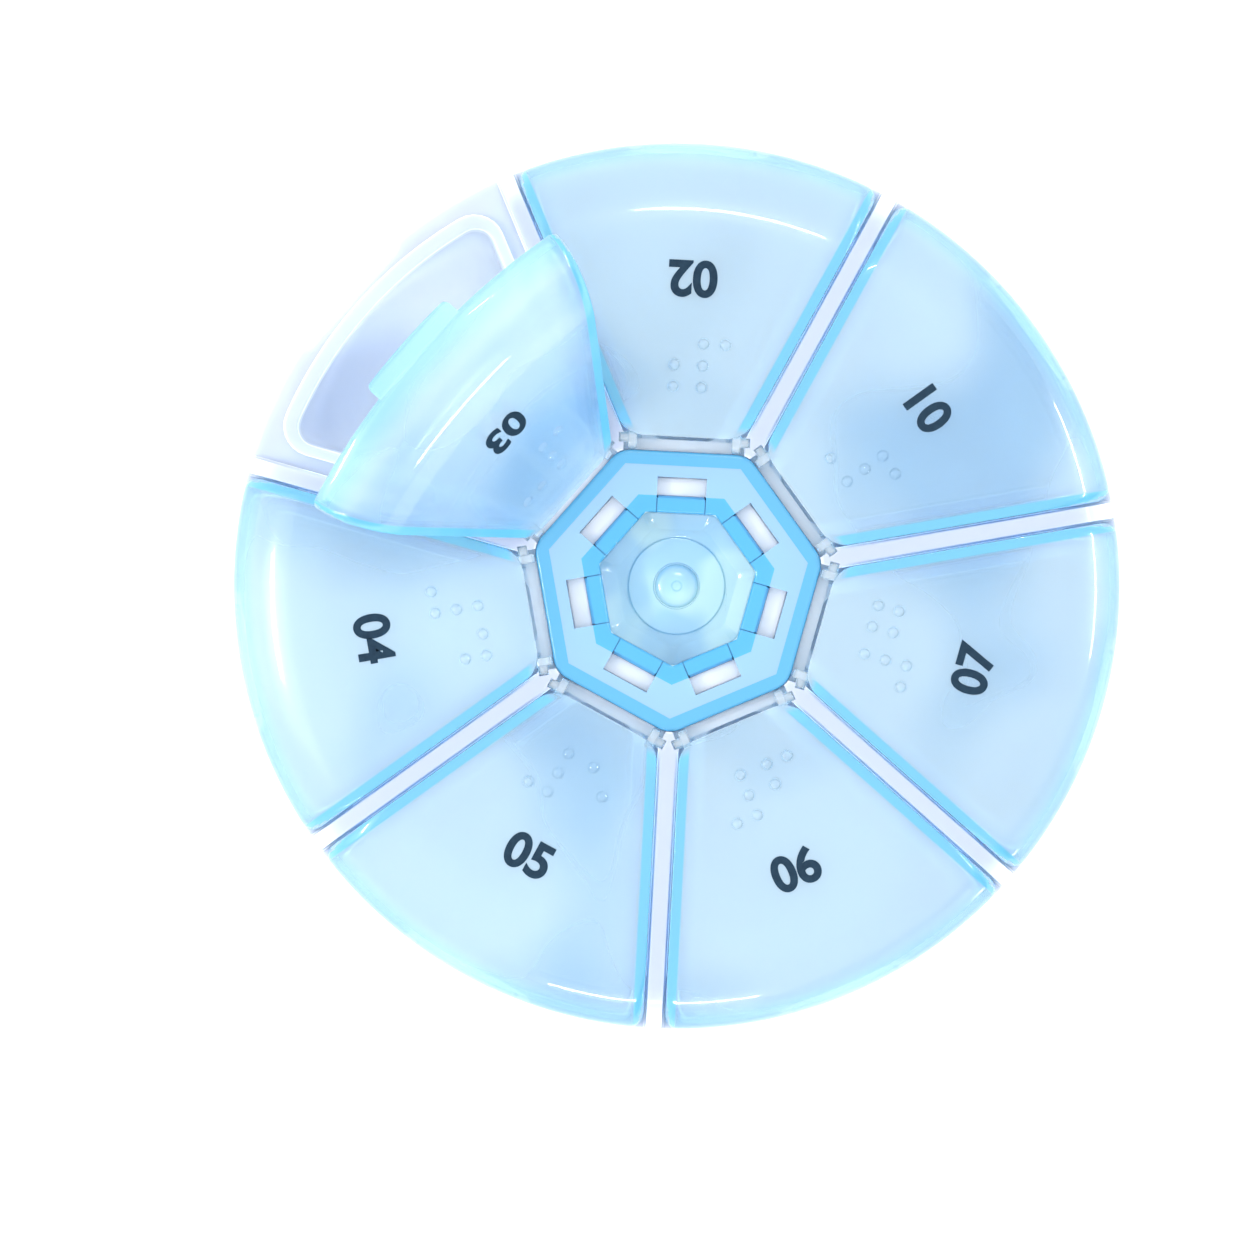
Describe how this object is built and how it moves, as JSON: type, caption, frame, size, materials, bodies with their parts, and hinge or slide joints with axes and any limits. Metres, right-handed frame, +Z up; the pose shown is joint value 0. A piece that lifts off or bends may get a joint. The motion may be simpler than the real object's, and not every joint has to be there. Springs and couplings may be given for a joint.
{
  "type": "round pill organizer",
  "caption": "Round weekly pill organizer: a shallow tray of wedge-shaped cups round a heptagonal hub, each cup under its own domed lid hinged at the hub, with one lid standing open.",
  "frame": {"origin": "middle of the underside, where the tray rests", "axes": "+Z up through the hub; +Y towards the middle of day 2's cup, with the rib between days 5 and 6 along -Y"},
  "size_m": [0.092, 0.092, 0.0448],
  "materials": {
    "tray_plastic": "frosted translucent white polypropylene",
    "cap_plastic": "satin translucent blue polypropylene",
    "lid_plastic": "glossy translucent pale blue polypropylene"
  },
  "bodies": {
    "tray_body": {"tray": "tray_plastic", "snap_ring": "tray_plastic", "hub_cap": "cap_plastic"},
    "lid_1": {"lid_day_1": "lid_plastic"},
    "lid_2": {"lid_day_2": "lid_plastic"},
    "lid_3": {"lid_day_3": "lid_plastic"},
    "lid_4": {"lid_day_4": "lid_plastic"},
    "lid_5": {"lid_day_5": "lid_plastic"},
    "lid_6": {"lid_day_6": "lid_plastic"},
    "lid_7": {"lid_day_7": "lid_plastic"}
  },
  "joints": [
    {"name": "lid_hinge_day_1", "type": "hinge", "parent": "tray_body", "child": "lid_1", "pos_m": [0.0118, 0.00941, 0.0208], "axis": [-0.6235, 0.7818, 0], "range_deg": [-90, 0]},
    {"name": "lid_hinge_day_2", "type": "hinge", "parent": "tray_body", "child": "lid_2", "pos_m": [0, 0.0151, 0.0208], "axis": [1, 0, 0], "range_deg": [0, 34]},
    {"name": "lid_hinge_day_3", "type": "hinge", "parent": "tray_body", "child": "lid_3", "pos_m": [-0.0118, 0.00941, 0.0208], "axis": [0.6235, 0.7818, 0], "range_deg": [-56, 34]},
    {"name": "lid_hinge_day_4", "type": "hinge", "parent": "tray_body", "child": "lid_4", "pos_m": [-0.01472, -0.00336, 0.0208], "axis": [-0.2225, 0.9749, 0], "range_deg": [0, 34]},
    {"name": "lid_hinge_day_5", "type": "hinge", "parent": "tray_body", "child": "lid_5", "pos_m": [-0.00655, -0.0136, 0.0208], "axis": [-0.901, 0.4339, 0], "range_deg": [0, 90]},
    {"name": "lid_hinge_day_6", "type": "hinge", "parent": "tray_body", "child": "lid_6", "pos_m": [0.00655, -0.0136, 0.0208], "axis": [0.901, 0.4339, 0], "range_deg": [-90, 0]},
    {"name": "lid_hinge_day_7", "type": "hinge", "parent": "tray_body", "child": "lid_7", "pos_m": [0.01472, -0.00336, 0.0208], "axis": [-0.2225, -0.9749, 0], "range_deg": [0, 90]}
  ]
}
